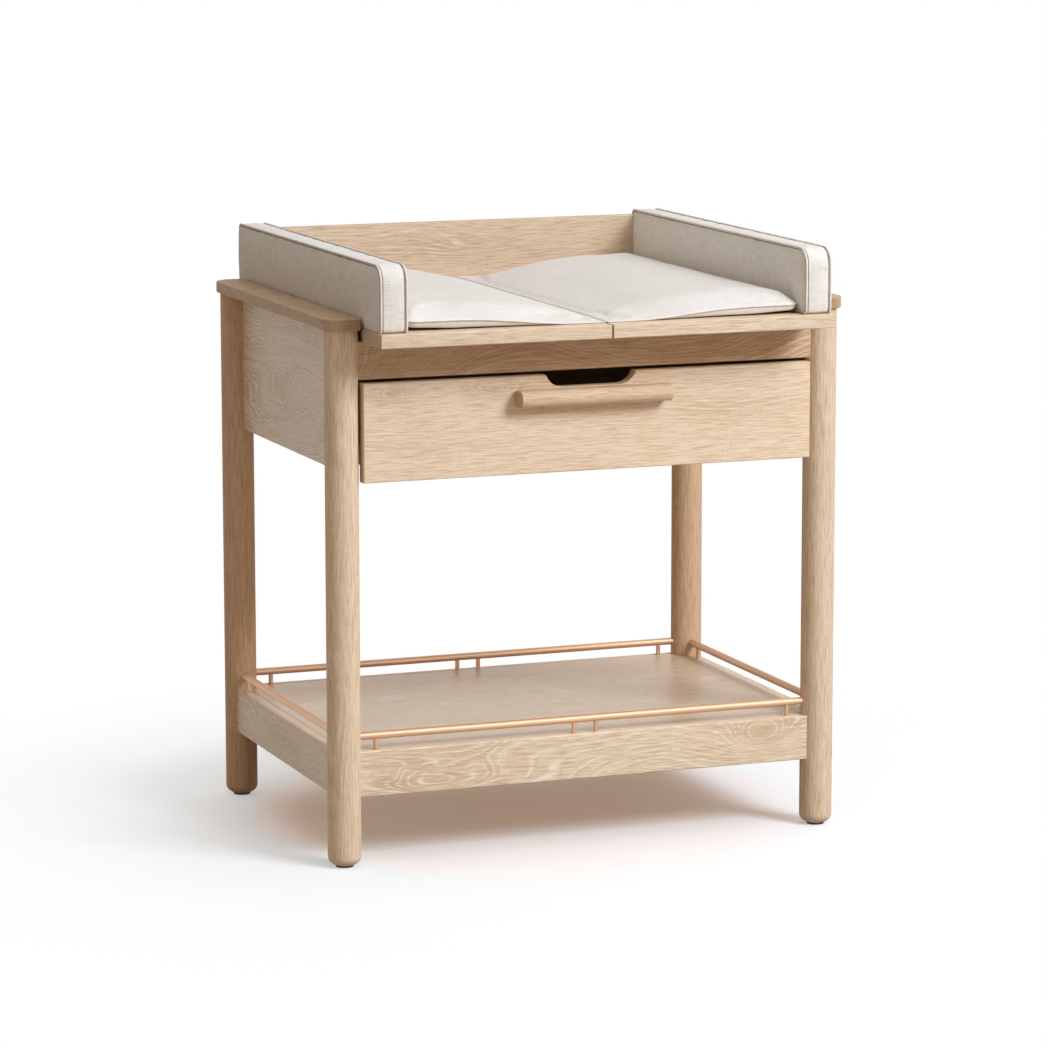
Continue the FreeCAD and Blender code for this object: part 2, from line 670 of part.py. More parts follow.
for side, panel in side_panels.items():
    keep(panel, f"side_panel_{side}")
keep(cross_boards["front"], "front_rail")
keep(cross_boards["back"], "back_panel")
for where, apron in aprons.items():
    keep(fitted(f"apron_{where}_cut", apron, posts[where]), f"shelf_apron_{where}")
for where, bar in bars.items():
    keep(bar, f"gallery_bar_{where}")
all_posts = group("gallery_post_rods", [post for row in posts.values() for post in row])
keep(fitted("gallery_posts_cut", all_posts, list(bars.values())), "gallery_posts")

shelf_x = f"({LEG_X} + board_setout - apron_thickness)"
shelf_y = f"({BOARD_REACH_Y} - apron_thickness)"
shelf_under = "apron_top - shelf_thickness"
shelf_blank = plain("shelf_blank", evenly("0", shelf_x), evenly(CENTRE_Y, shelf_y),
                    (shelf_under, "apron_top"))
batten_heights = (f"{shelf_under} - shelf_batten_size", shelf_under)
batten_x = evenly("0", f"{LEG_X} - {LEG_R} - batten_end_gap")
batten_y = evenly(CENTRE_Y, BATTEN_HALF)
for end, sign in ENDS.items():
    keep(plain(f"shelf_batten_{end}_strip", batten_x,
               about(CENTRE_Y, sign, f"{shelf_y} - shelf_batten_size", shelf_y),
               batten_heights), f"shelf_batten_{end}")
for side, sign in SIDES.items():
    keep(plain(f"shelf_batten_{side}_strip",
               mirrored(sign, f"{shelf_x} - shelf_batten_size", shelf_x), batten_y,
               batten_heights), f"shelf_batten_{side}")


# ---- legs, with the housings of everything that seats in them ------------------------------

glides, leg_reliefs = [], []
for side, sign in SIDES.items():
    mine = []
    for end, way in ENDS.items():
        x, y = f"{sign} * {LEG_X}", f"{CENTRE_Y} + {way} * {LEG_REACH_Y}"
        seated = [aprons[end], aprons[side], side_panels[side], cross_boards[end],
                  bars[end], bars[side]]
        leg = fitted(f"leg_{end}_{side}_cut", make_leg(side, end, x, y), seated)
        mine.append(keep(leg, f"leg_{end}_{side}"))
        glides.append(rod(f"glide_{end}_{side}", "z", "glide_diameter", (x, y, "0"),
                          "glide_height"))
        leg_reliefs.append(rod(f"shelf_notch_{end}_{side}", "z",
                               "leg_diameter + 2 * shelf_leg_gap", (x, y, "0"),
                               "apron_top + shelf_thickness"))
    keep(fitted(f"cap_{side}_cut", caps[side], mine), f"side_cap_{side}")
keep(group("glide_group", glides), "foot_glides")
keep(fitted("shelf_cut", shelf_blank, leg_reliefs), "shelf_panel")


# ---- check and write -----------------------------------------------------------------------

doc.recompute()
for thing in doc.Objects:
    if {"Invalid", "Error"} & set(thing.State):
        raise RuntimeError(f"{thing.Name} did not build: {thing.State}")
os.makedirs("parts", exist_ok=True)
for piece in pieces:
    shape = piece.Shape
    if shape.isNull() or not shape.isValid() or not shape.Solids:
        raise RuntimeError(f"{piece.Label} is not a sound solid")
    shape.exportStep(f"parts/{piece.Label}.step")
    print(f"{piece.Label:26s} solids {len(shape.Solids):2d}  volume {shape.Volume / 1000:9.1f} cm3")
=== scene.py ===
"""Looks of the changing dresser: brushed pale oak, linen cushions, a satin metal gallery,
soft daylight on a pale floor, and the photograph's camera. Metres, X right, Y back, Z up."""
import math

import bmesh
import bpy
from mathutils import Matrix, Vector, noise


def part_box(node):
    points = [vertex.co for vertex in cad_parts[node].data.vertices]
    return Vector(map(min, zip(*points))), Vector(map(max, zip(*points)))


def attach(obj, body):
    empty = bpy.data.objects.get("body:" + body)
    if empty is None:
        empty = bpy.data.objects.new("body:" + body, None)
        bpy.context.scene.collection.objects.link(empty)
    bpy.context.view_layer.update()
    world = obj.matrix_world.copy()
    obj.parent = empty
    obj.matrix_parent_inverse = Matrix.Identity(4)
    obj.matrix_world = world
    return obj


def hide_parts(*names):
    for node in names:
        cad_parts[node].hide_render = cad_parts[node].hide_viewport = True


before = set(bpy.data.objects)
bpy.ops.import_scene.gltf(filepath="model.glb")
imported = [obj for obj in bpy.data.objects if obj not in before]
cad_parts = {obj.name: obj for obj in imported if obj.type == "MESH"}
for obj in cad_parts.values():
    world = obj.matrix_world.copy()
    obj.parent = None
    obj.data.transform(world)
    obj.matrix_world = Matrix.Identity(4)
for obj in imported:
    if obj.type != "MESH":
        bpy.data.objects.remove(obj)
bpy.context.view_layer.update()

# ---- camera, as the photograph's perspective gives it ------------------------------------
CAMERA_PLACE = (-2.5208, -6.5856, 1.6623)
CAMERA_AZIMUTH = -20.887
CAMERA_ELEVATION = 9.498
CAMERA_ROLL = 0.05
CAMERA_LENS = 149.34
SENSOR_WIDTH = 36.0

# ---- colours, as display values -----------------------------------------------------------
OAK_BODY = (0.870, 0.785, 0.680)
OAK_DARK = (0.740, 0.600, 0.465)
OAK_PALE = (0.955, 0.910, 0.840)
PLY_BODY = (0.880, 0.800, 0.695)
PLY_DARK = (0.815, 0.715, 0.595)
MAT_LINEN = (0.905, 0.890, 0.866)
BOLSTER_LINEN = (0.938, 0.920, 0.893)
PIPING_LINEN = (0.930, 0.905, 0.875)
# The next two colours are painted shade: thin dark lines laid along the seams, where the grooves
# beside the bolsters' piping and under the mats' welts are shaded.
SEAM_SHADE_LINE = (0.600, 0.545, 0.490)
MAT_SHADE_LINE_COLOUR = (0.740, 0.690, 0.640)
GALLERY_METAL = (0.870, 0.715, 0.590)
ZINC = (0.780, 0.785, 0.790)
CAGE_POLYMER = (0.130, 0.115, 0.105)
GLIDE_POLYMER = (0.240, 0.195, 0.160)
FLOOR_PAINT = (0.990, 1.015, 1.035)
FLOOR_BOUNCE = (0.700, 0.660, 0.615)
# the warm colour of the floor's glow near the object is painted light: bounce light from the
# wood, painted into the object's shadow
NEAR_PAINTED_BOUNCE = (1.150, 0.975, 0.850)
WARM_SKY = (1.000, 0.935, 0.870)
LAMP_TINT = (0.960, 1.020, 1.100)

# ---- light ---------------------------------------------------------------------------------
SKY_STRENGTH = 0.42
# Each lamp's azimuth and elevation in degrees, distance and size in metres, and watts.
LAMPS = {"key": (32.0, 34.0, 6.0, 2.2, 262.0),
         "top": (20.0, 70.0, 5.0, 3.6, 46.0),
         "back": (128.0, 30.0, 6.0, 3.0, 36.0)}
LAMP_TARGET = (0.0, 0.0, 0.45)
FLOOR_HALF_SIZE = 60.0
# The share of the floor that glows, by the distance from the origin as a share of
# FLOOR_FADE_SPAN metres: plain white further out, and under and near the object a smaller
# share that is painted light, which lifts the object's shadow.
FLOOR_FADE_SPAN = 6.0
FLOOR_FADE = ((0.063, 0.185), (0.092, 0.51), (0.110, 0.61), (0.133, 0.82), (0.167, 0.95),
              (0.20, 1.0))
# How far that glow has lost its painted warmth, the painted bounce light from the wood, and
# become plain white, by the same share of the floor.
GLOW_WHITENS = ((0.185, 0.0), (0.38, 1.0))

# ---- cushions, in metres -------------------------------------------------------------------
GRID_STEP = 0.0075
CROWDING = 0.62               # how much the rows of points crowd towards the seams

BOLSTER_SEAM_INSET = 0.0045   # from the CAD solid's outer side to the outer seam
BOLSTER_BAND = 0.041          # from seam to seam
BOLSTER_OUTER_BULGE = 0.0065
BOLSTER_INNER_BULGE = 0.0060
BOLSTER_ROLL = 0.011          # a panel swells quickly over this width by its seam,
BOLSTER_BULGE_REACH = 0.050   # and slowly over this one
BOLSTER_ROLL_SHARE = 0.66
BOLSTER_CAP_CLEAR = 0.018     # below this height a bolster keeps clear of the cap,
BOLSTER_CAP_FLARE = 0.45      # and above it may swell by this much of the height
BOLSTER_BAND_CROWN = 0.0012
BOLSTER_GROOVE = 0.0025
GROOVE_DEPTH = 0.0009
GROOVE_WIDTH = 0.0015
BOLSTER_CORNER = 0.009
BOLSTER_FRONT_TOP = 0.025
BOLSTER_HELD_FOOT = 0.019     # the cloth is held up to this height
BOLSTER_PRESSURE = 2.5
BOLSTER_SWELL = 0.0028        # the furthest that the cloth moves a point
BOLSTER_WAVE = (0.0007, 0.0005)  # unevenness across the cushion, and up
PIPING_RADIUS = 0.0019
# the thickness of the dark lines of painted shade beside the piping
SHADE_LINE_RADIUS = 0.0007
# The trims along each of a bolster's seams: how far outwards across the cushion, how far in
# from its edge, and how thick. The two dark lines beside the piping are painted shade, for
# the shaded grooves on the panel's side and on the band's side.
BOLSTER_TRIMS = {"piping": (0.0003, -0.0003, PIPING_RADIUS),
                 "panel_shade_line": (0.0008, 0.0025, SHADE_LINE_RADIUS),
                 "band_shade_line": (-0.0030, -0.0001, SHADE_LINE_RADIUS)}

MAT_CORNER = 0.016
MAT_EDGE_PULL = 0.004         # how far the outer edge pulls in between its corners
MAT_SIDE_REACH = 0.023        # the top swells over this width along the outer edge,
MAT_END_REACH = 0.095         # over this one at the ends by the split,
MAT_END_PLUMP = 0.052         # and over this much less at the ends by the bolster
MAT_PLUMP_BY = 0.3            # from the split to where all of that is taken off
MAT_UNDER_TIP = 0.005         # the underside falls quickly over this width,
MAT_UNDER_REACH = 0.040       # and slowly over this one
MAT_UNDER_QUICK = 0.82
MAT_CORNER_LIFT = 0.32
MAT_LIFT_REACH = 0.075
MAT_RIM_HELD = 0.006          # the cloth is held this near to the rim and to the split
MAT_SPLIT_HELD = 0.01
MAT_PRESSURE = 1.5
MAT_SWELL = 0.002
MAT_WAVE = 0.0012             # unevenness of the top, which fades this near to the split
MAT_WAVE_FADE = 0.06
MAT_WELT = 0.0009
# a darker line of painted shade just below each mat's welt: its thickness, and how far down it
# lies
MAT_SHADE_LINE_RADIUS = 0.0004
MAT_SHADE_LINE_DROP = 0.0012
# A mat's thickness, and the height of the seam round it, by the distance from the split.
MAT_THICK = [(0.0, 0.002), (0.030, 0.0085), (0.061, 0.0155), (0.107, 0.0250),
             (0.160, 0.0315), (0.220, 0.0350), (0.270, 0.0358), (0.332, 0.0345)]
MAT_SEAM = [(0.0, 0.0008), (0.063, 0.0011), (0.110, 0.0044), (0.151, 0.0088),
            (0.198, 0.0128), (0.239, 0.0143), (0.332, 0.0147)]

CLOTH_FRAMES = 20
CLOTH = {"quality": 6, "mass": 0.25, "tension_stiffness": 12.0, "compression_stiffness": 8.0,
         "shear_stiffness": 6.0, "bending_stiffness": 2.0, "use_pressure": True,
         "vertex_group_mass": "held", "shrink_min": -0.004}


# ---- small helpers -------------------------------------------------------------------------

def linear(colour):
    """A display colour as the linear one that a shader takes, with alpha."""
    def one(channel):
        return channel / 12.92 if channel <= 0.04045 else ((channel + 0.055) / 1.055) ** 2.4
    return (*[one(channel) for channel in colour], 1.0)


def smooth(mesh):
    for face in mesh.polygons:
        face.use_smooth = True


class Graph:
    """A material's nodes, added one call at a time. An input is a number, a colour, or
    another node's socket."""

    def __init__(self, name):
        self.material = bpy.data.materials.new(name)
        self.material.use_nodes = True
        self.tree = self.material.node_tree
        self.tree.nodes.clear()
        self.out = self.tree.nodes.new("ShaderNodeOutputMaterial")

    def add(self, kind, inputs=None, **properties):
        node = self.tree.nodes.new(f"ShaderNode{kind}")
        for key, setting in properties.items():
            setattr(node, key, setting)
        for key, value in (inputs or {}).items():
            if isinstance(value, bpy.types.NodeSocket):
                self.tree.links.new(value, node.inputs[key])
            else:
                node.inputs[key].default_value = value
        return node

    def math(self, operation, *values):
        return self.add("Math", dict(enumerate(values)), operation=operation).outputs[0]

    def vector(self, operation, *values):
        return self.add("VectorMath", dict(enumerate(values)), operation=operation).outputs[0]

    def noise(self, vector, scale=1.0, detail=2.0, roughness=0.5):
        node = self.add("TexNoise", {"Vector": vector, "Scale": scale, "Detail": detail,
                                     "Roughness": roughness})
        return node.outputs["Fac"]

    def ramp(self, value, *stops):
        """A grey ramp through (place, brightness) stops."""
        node = self.add("ValToRGB", {"Fac": value})
        bar = node.color_ramp
        while len(bar.elements) < len(stops):
            bar.elements.new(0.5)
        for element, (place, bright) in zip(bar.elements, stops):
            element.position = place
            element.color = (bright, bright, bright, 1.0)
        return node.outputs["Color"]

    def mix(self, factor, first, second, blend="MIX"):
        node = self.add("Mix", {0: factor, 6: first, 7: second}, data_type="RGBA",
                        blend_type=blend)
        return node.outputs[2]

    def bump(self, height, strength, distance):
        inputs = {"Height": height, "Strength": strength, "Distance": distance}
        return self.add("Bump", inputs).outputs["Normal"]

    def away_from_origin(self, vector):
        return self.add("VectorMath", {0: vector}, operation="LENGTH").outputs["Value"]

    def surface(self, **inputs):
        shader = self.add("BsdfPrincipled", inputs)
        self.tree.links.new(shader.outputs[0], self.out.inputs["Surface"])
        return self.material


# ---- materials -------------------------------------------------------------------------------

GRAIN_TURNS = {"x": (0.0, 0.0, 0.0),
               "y": (0.0, 0.0, -math.pi / 2),
               "z": (0.0, math.pi / 2, 0.0)}
# How far apart two boards' places in the wood are, along the grain and across it.
BOARD_SHIFT = (1.37, 0.61, 0.29)
RING_WIDTH = 0.0046
LINEN_THREAD = 0.0009


def wood(name, grain, seed, body, dark, pale, pith=(0.03, 0.06), figure=1.0, ripple=0.3,
         gloss=0.5, eyes=()):
    """Wood as a solid: year rings round a pith line that wanders, fine broken fibres that
    follow them, pores, and patches of ray flecks that cross the grain. `grain` is the axis
    that the tree grew along. `figure` is how far the rings bend and show, `ripple` how wavy
    their lines are, and `gloss` how far the finish has filled the surface. `eyes` are spots
    where the rings swell into nested ovals: (along, height, half length, half height, how far
    they swell)."""
    g = Graph(name)
    coords = g.add("TexCoord")
    turned = g.add("Mapping", {"Vector": coords.outputs["Object"],
                               "Rotation": GRAIN_TURNS[grain],
                               "Location": [seed * step for step in BOARD_SHIFT]})
    place = turned.outputs[0]

    def stretched(along, across):
        return g.vector("MULTIPLY", place, (along, across, across))

    def shift(vector, along, across, amount, detail=2.0):
        """Move a place about by a noise that is stretched along the grain."""
        cloud = g.add("TexNoise", {"Vector": stretched(along, across), "Scale": 1.0,
                                   "Detail": detail, "Roughness": 0.5}).outputs["Color"]
        centred = g.vector("SUBTRACT", cloud, (0.5, 0.5, 0.5))
        return g.vector("ADD", vector, g.vector("MULTIPLY", centred, (0.0, amount, amount)))

    bent = shift(place, 3.2, 5.5, 0.115 * figure, detail=1.0)
    bent = shift(bent, 26.0, 40.0, 0.009 * ripple)
    pith_place = (0.0, seed * BOARD_SHIFT[1] + pith[0], seed * BOARD_SHIFT[2] - pith[1])
    centred = g.vector("SUBTRACT", bent, pith_place)
    radius = g.away_from_origin(g.vector("MULTIPLY", centred, (0.0, 1.0, 1.0)))
    length = g.add("SeparateXYZ", {0: place}).outputs[0]
    wandering = shift(place, 14.0, 30.0, 0.014)
    near_eye = 0.0
    for along, rise, half_length, half_height, swell in eyes:
        middle = (along + seed * BOARD_SHIFT[0], 0.0, rise + seed * BOARD_SHIFT[2])
        away = g.vector("MULTIPLY", g.vector("SUBTRACT", wandering, middle),
                        (1 / half_length, 0.0, 1 / half_height))
        spread = g.add("VectorMath", {0: away, 1: away}, operation="DOT_PRODUCT")
        hill = g.math("EXPONENT", g.math("MULTIPLY", spread.outputs["Value"], -1.0))
        radius = g.math("ADD", radius, g.math("MULTIPLY", hill, swell))
        near_eye = g.math("MAXIMUM", near_eye, hill)

    def ring_noise(per_metre, along, detail, number):
        """Noise that follows the rings: `per_metre` across them, `along` the grain."""
        spot = g.add("CombineXYZ", {0: g.math("MULTIPLY", radius, per_metre),
                                    1: g.math("MULTIPLY", length, along), 2: number})
        return g.noise(spot.outputs[0], detail=detail)

    uneven = ring_noise(70.0, 2.0, 1.0, seed + 20.0)
    rings = g.math("ADD", g.math("DIVIDE", radius, RING_WIDTH),
                   g.math("MULTIPLY", uneven, 3.0))
    lines = g.ramp(g.math("FRACT", rings), (0.0, 0.0), (0.14, 1.0), (0.26, 1.0), (0.38, 0.0))
    bands = ring_noise(55.0, 2.5, 2.0, seed + 40.0)
    fibre = g.noise(stretched(26.0, 640.0), detail=2.0, roughness=0.55)
    strands = ring_noise(620.0, 32.0, 2.0, seed + 80.0)
    broad = g.noise(stretched(1.8, 9.0), detail=3.0)
    pores = g.noise(stretched(70.0, 1100.0), detail=1.0)
    pore_marks = g.ramp(pores, (0.60, 0.0), (0.70, 1.0))
    patch = g.ramp(g.noise(stretched(7.0, 12.0), detail=1.0), (0.58, 0.0), (0.70, 1.0))
    rays = g.ramp(g.noise(stretched(420.0, 30.0), detail=2.0), (0.48, 0.0), (0.66, 1.0))
    flecks = g.math("MULTIPLY", patch, rays)

    # browner bands of rings, and the pale line that ends each ring
    tan = g.math("MULTIPLY", g.ramp(bands, (0.40, 0.0), (0.66, 1.0)),
                 g.ramp(broad, (0.30, 0.30), (0.62, 1.0)))
    shown = g.ramp(broad, (0.34, 0.30), (0.60, 1.0))
    tanned = g.math("MAXIMUM", g.math("MULTIPLY", tan, 0.55 * figure),
                    g.math("MULTIPLY", near_eye, 0.50))
    colour = g.mix(tanned, linear(body), linear(dark))
    marked = g.math("MAXIMUM", g.math("MULTIPLY", shown, 0.80 * figure),
                    g.math("MULTIPLY", near_eye, 0.65))
    colour = g.mix(g.math("MULTIPLY", lines, marked), colour, linear(pale))
    # strands and fibres, each with its dark and its pale ones, then pores and ray flecks
    colour = g.mix(g.ramp(strands, (0.34, 0.26), (0.50, 0.0)), colour, linear(dark))
    colour = g.mix(g.ramp(strands, (0.58, 0.0), (0.70, 0.22)), colour, linear(pale))
    colour = g.mix(g.ramp(fibre, (0.36, 0.62), (0.47, 0.0)), colour, linear(dark))
    colour = g.mix(g.ramp(fibre, (0.56, 0.0), (0.66, 0.30)), colour, linear(pale))
    colour = g.mix(g.math("MULTIPLY", pore_marks, 0.30), colour, linear(dark))
    colour = g.mix(g.math("MULTIPLY", flecks, 0.16), colour, linear(pale))

    facing = g.add("Mapping", {"Vector": coords.outputs["Normal"],
                               "Rotation": GRAIN_TURNS[grain]}).outputs[0]
    end_face = g.math("ABSOLUTE", g.add("SeparateXYZ", {0: facing}).outputs[0])
    end_grain = g.math("MULTIPLY", g.math("POWER", end_face, 6.0), 0.60)
    tinted = g.mix(1.0, colour, (0.72, 0.61, 0.51, 1.0), "MULTIPLY")
    colour = g.mix(end_grain, colour, tinted)

    relief = g.math("ADD", g.math("MULTIPLY", fibre, 0.6), g.math("MULTIPLY", lines, 0.3))
    relief = g.math("SUBTRACT", relief, g.math("MULTIPLY", pore_marks, 0.5))
    rough = g.add("MapRange", {"Value": fibre, "To Min": 0.62 - 0.30 * gloss,
                               "To Max": 0.80 - 0.30 * gloss})
    return g.surface(**{"Base Color": colour, "Roughness": rough.outputs[0], "IOR": 1.5,
                        "Specular IOR Level": 0.12 + 0.40 * gloss,
                        "Normal": g.bump(relief, 0.30, 0.0004)})


def linen(name, colour, slub=0.5, sheen=0.15):
    """Plain-woven linen: two sets of uneven threads that pass over and under each other.
    `slub` is how uneven they are."""
    g = Graph(name)
    uv = g.add("TexCoord").outputs["UV"]

    def along(first, second):
        return g.vector("MULTIPLY", uv, (first, second, 1.0))

    warp = g.noise(along(1000.0, 34.0), detail=2.0, roughness=0.55)
    weft = g.noise(along(34.0, 1000.0), detail=2.0, roughness=0.55)
    threads = g.math("MULTIPLY", g.math("ADD", warp, weft), 0.5)
    split = g.add("SeparateXYZ", {0: uv})
    turn = math.pi / LINEN_THREAD
    waves = [g.math("SINE", g.math("MULTIPLY", split.outputs[axis], turn)) for axis in (0, 1)]
    weave = g.math("MULTIPLY", *waves)
    cloudy = g.noise(along(14.0, 14.0), detail=3.0)
    dark = linear([channel * 0.80 for channel in colour])
    pale = linear([min(0.965, channel * 1.035) for channel in colour])
    shade = g.mix(g.ramp(threads, (0.36, 0.0), (0.62, 1.0)), dark, pale)
    shade = g.mix(1 - slub, shade, linear(colour))
    shade = g.mix(g.ramp(cloudy, (0.3, 0.10), (0.7, 0.0)), shade, dark)
    height = g.math("ADD", g.math("MULTIPLY", weave, 0.35), threads)
    return g.surface(**{"Base Color": shade, "Roughness": 0.92, "Sheen Weight": sheen,
                        "Sheen Roughness": 0.5, "Specular IOR Level": 0.15,
                        "Normal": g.bump(height, 0.35, 0.0006)})


def metal(name, colour, roughness, grain):
    """Satin metal, with fine drawing marks along its length. `grain` is how fine the marks
    are along each axis."""
    g = Graph(name)
    place = g.add("TexCoord").outputs["Object"]
    marks = g.noise(g.vector("MULTIPLY", place, grain), detail=2.0)
    gloss = g.add("MapRange", {"Value": marks, "To Min": roughness - 0.06,
                               "To Max": roughness + 0.08})
    dark = linear([channel * 0.90 for channel in colour])
    shade = g.mix(g.ramp(marks, (0.3, 0.0), (0.7, 1.0)), dark, linear(colour))
    return g.surface(**{"Base Color": shade, "Metallic": 1.0, "Roughness": gloss.outputs[0],
                        "Normal": g.bump(marks, 0.05, 0.0003)})


def polymer(name, colour, roughness=0.55):
    """Moulded plastic with a fine even texture."""
    g = Graph(name)
    place = g.add("TexCoord").outputs["Object"]
    pebble = g.noise(place, scale=900.0, detail=2.0)
    shade = g.mix(g.ramp(pebble, (0.3, 0.0), (0.7, 1.0)),
                  linear([channel * 0.85 for channel in colour]), linear(colour))
    return g.surface(**{"Base Color": shade, "Roughness": roughness,
                        "Normal": g.bump(pebble, 0.2, 0.0003)})


# Each board comes from its own place in the tree: its grain axis, where its pith lay, how
# much figure and ripple it shows, how glossy its finish is, and its eyes.
BOARDS = {
    "leg_front_left": ("z", (0.004, 0.012), 0.35, 0.1, 0.15),
    "leg_front_right": ("z", (0.010, 0.014), 0.35, 0.1, 0.15),
    "leg_back_left": ("z", (-0.006, 0.020), 0.35, 0.1, 0.15),
    "leg_back_right": ("z", (0.008, 0.010), 0.35, 0.1, 0.15),
    "side_cap_left": ("y", (0.05, 0.09), 0.6, 0.2, 0.45),
    "side_cap_right": ("y", (0.06, 0.08), 0.6, 0.2, 0.45),
    "side_panel_left": ("y", (0.02, 0.05), 1.3, 1.3, 1.0,
                        ((-0.10, 0.815, 0.07, 0.030, 0.035), (0.04, 0.70, 0.09, 0.035, 0.030),
                         (-0.17, 0.67, 0.05, 0.030, -0.025), (0.20, 0.77, 0.10, 0.020, 0.02))),
    "side_panel_right": ("y", (-0.03, 0.06), 1.3, 1.3, 1.0,
                         ((0.05, 0.78, 0.09, 0.030, 0.035), (-0.15, 0.70, 0.06, 0.03, 0.02))),
    "front_rail": ("x", (0.02, 0.05), 0.9, 0.3, 0.1,
                   ((-0.46, 0.740, 0.170, 0.120, 0.150),)),
    "back_panel": ("x", (0.02, 0.07), 1.0, 0.4, 0.5),
    "back_board": ("x", (0.01, 0.05), 0.45, 0.2, 0.3,
                   ((-0.02, 0.90, 0.16, 0.030, 0.020),)),
    "top_bearer": ("y", (0.03, 0.05), 0.6, 0.2, 0.2),
    "top_leaf_left": ("x", (0.05, 0.07), 0.4, 0.2, 0.4),
    "top_leaf_right": ("x", (-0.05, 0.08), 0.4, 0.2, 0.4),
    "top_cleat_left": ("y", (0.03, 0.05), 0.6, 0.2, 0.2),
    "top_cleat_right": ("y", (0.04, 0.05), 0.6, 0.2, 0.2),
    "drawer_front": ("x", (0.02, 0.05), 0.35, 0.2, 0.4,
                     ((-0.330, 0.747, 0.038, 0.013, 0.026), (-0.165, 0.746, 0.055, 0.015, 0.030),
                      (0.24, 0.70, 0.12, 0.022, 0.010))),
    "drawer_handle": ("x", (0.03, 0.05), 0.3, 0.1, 0.1),
    "shelf_panel": ("x", (0.08, 0.12), 0.4, 0.2, 1.2),
    "shelf_apron_front": ("x", (0.015, 0.045), 0.7, 0.2, 0.5,
                          ((-0.31, 0.124, 0.170, 0.026, 0.034),
                           (0.305, 0.160, 0.050, 0.028, 0.036))),
    "shelf_apron_back": ("x", (0.02, 0.06), 0.8, 0.3, 0.5,
                         ((0.10, 0.150, 0.180, 0.028, 0.030),)),
    "shelf_apron_left": ("y", (0.02, 0.05), 0.7, 0.3, 0.9,
                         ((0.02, 0.150, 0.120, 0.026, 0.026),)),
    "shelf_apron_right": ("y", (0.01, 0.06), 0.7, 0.3, 0.9,
                          ((-0.05, 0.140, 0.120, 0.026, 0.026),)),
    "shelf_batten_front": ("x", (0.03, 0.05), 0.6, 0.2, 0.2),
    "shelf_batten_back": ("x", (0.03, 0.05), 0.6, 0.2, 0.2),
    "shelf_batten_left": ("y", (0.03, 0.05), 0.6, 0.2, 0.2),
    "shelf_batten_right": ("y", (0.03, 0.05), 0.6, 0.2, 0.2),
    "runner_batten_left": ("y", (0.03, 0.05), 0.6, 0.2, 0.2),
    "runner_batten_right": ("y", (0.03, 0.05), 0.6, 0.2, 0.2),
}
# Boards that are lighter or darker than the rest: partly the tone that differs from board to
# board, as oak boards do, and partly painted light and shade. The back legs, the side caps, the
# front rail, the back board and the shelf are darkened as painted shade; the front left leg, the
# drawer front and the front apron are lightened as painted light.
TONES_AND_PAINTED_LIGHT = {
    # the front left leg is lighter as painted light
    "leg_front_left": (1.03, 1.03, 1.02),
    # the back legs are darker as painted shade, for their shaded sides
    "leg_back_left": (0.94, 0.88, 0.83),
    "leg_back_right": (0.95, 0.90, 0.85),
    # the caps are darker as painted shade, for the bolsters' shadow on them
    "side_cap_left": (0.84, 0.80, 0.75),
    "side_cap_right": (0.84, 0.80, 0.75),
    # the rail is darker as painted shade, for the shadow under the top's overhang
    "front_rail": (0.95, 0.90, 0.86),
    # the back board and the shelf are a little darker as painted shade
    "back_board": (0.93, 0.92, 0.91),
    "shelf_panel": (0.95, 0.94, 0.93),
    # the drawer front is lighter as painted light
    "drawer_front": (1.06, 1.06, 1.06),
    "drawer_handle": (1.00, 0.98, 0.95),
    # the front apron is lighter as painted light
    "shelf_apron_front": (1.04, 1.05, 1.05),
}
BOX_BOARDS = {"drawer_side_left": "y", "drawer_side_right": "y", "drawer_back": "x",
              "drawer_bottom": "x"}


def dress(name, material):
    """Give a CAD node a finished material."""
    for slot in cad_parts[name].material_slots:
        slot.material = material


def dress_cad():
    for seed, (name, traits) in enumerate(BOARDS.items(), start=1):
        grain, *rest = traits
        # a board's tone scales its colours: partly its own tone, partly painted light and shade
        tone_and_light = TONES_AND_PAINTED_LIGHT.get(name, (1.0, 1.0, 1.0))
        tints = [[min(0.98, channel * share) for channel, share in zip(colour, tone_and_light)]
                 for colour in (OAK_BODY, OAK_DARK, OAK_PALE)]
        dress(name, wood(f"oak_{name}", grain, seed, *tints, *rest))
    for seed, (name, grain) in enumerate(BOX_BOARDS.items(), start=50):
        dress(name, wood(f"ply_{name}", grain, seed, PLY_BODY, PLY_DARK, OAK_PALE,
                         pith=(0.3, 0.5), figure=0.35, gloss=0.4))
    along, across = 8.0, 900.0
    marks = {"x": (along, across, across), "y": (across, along, across),
             "z": (across, across, along)}
    gallery = {axis: metal(f"gallery_satin_{axis}", GALLERY_METAL, 0.58, marks[axis])
               for axis in marks}
    zinc = metal("zinc_plate", ZINC, 0.34, marks["y"])
    black = polymer("cage_black", CAGE_POLYMER)
    for end in ("front", "back"):
        dress(f"gallery_bar_{end}", gallery["x"])
    for side in ("left", "right"):
        dress(f"gallery_bar_{side}", gallery["y"])
        for member in ("cabinet", "middle", "slide"):
            dress(f"runner_{member}_{side}", zinc)
        dress(f"runner_cages_{side}", black)
    dress("gallery_posts", gallery["z"])
    dress("foot_glides", polymer("glide_dark", GLIDE_POLYMER, 0.7))


# ---- cushions --------------------------------------------------------------------------------

def mesh_object(name, points, faces):
    mesh = bpy.data.meshes.new(name)
    mesh.from_pydata([tuple(point) for point in points], [], faces)
    mesh.validate()
    mesh.update()
    piece = bpy.data.objects.new(name, mesh)
    bpy.context.scene.collection.objects.link(piece)
    return piece


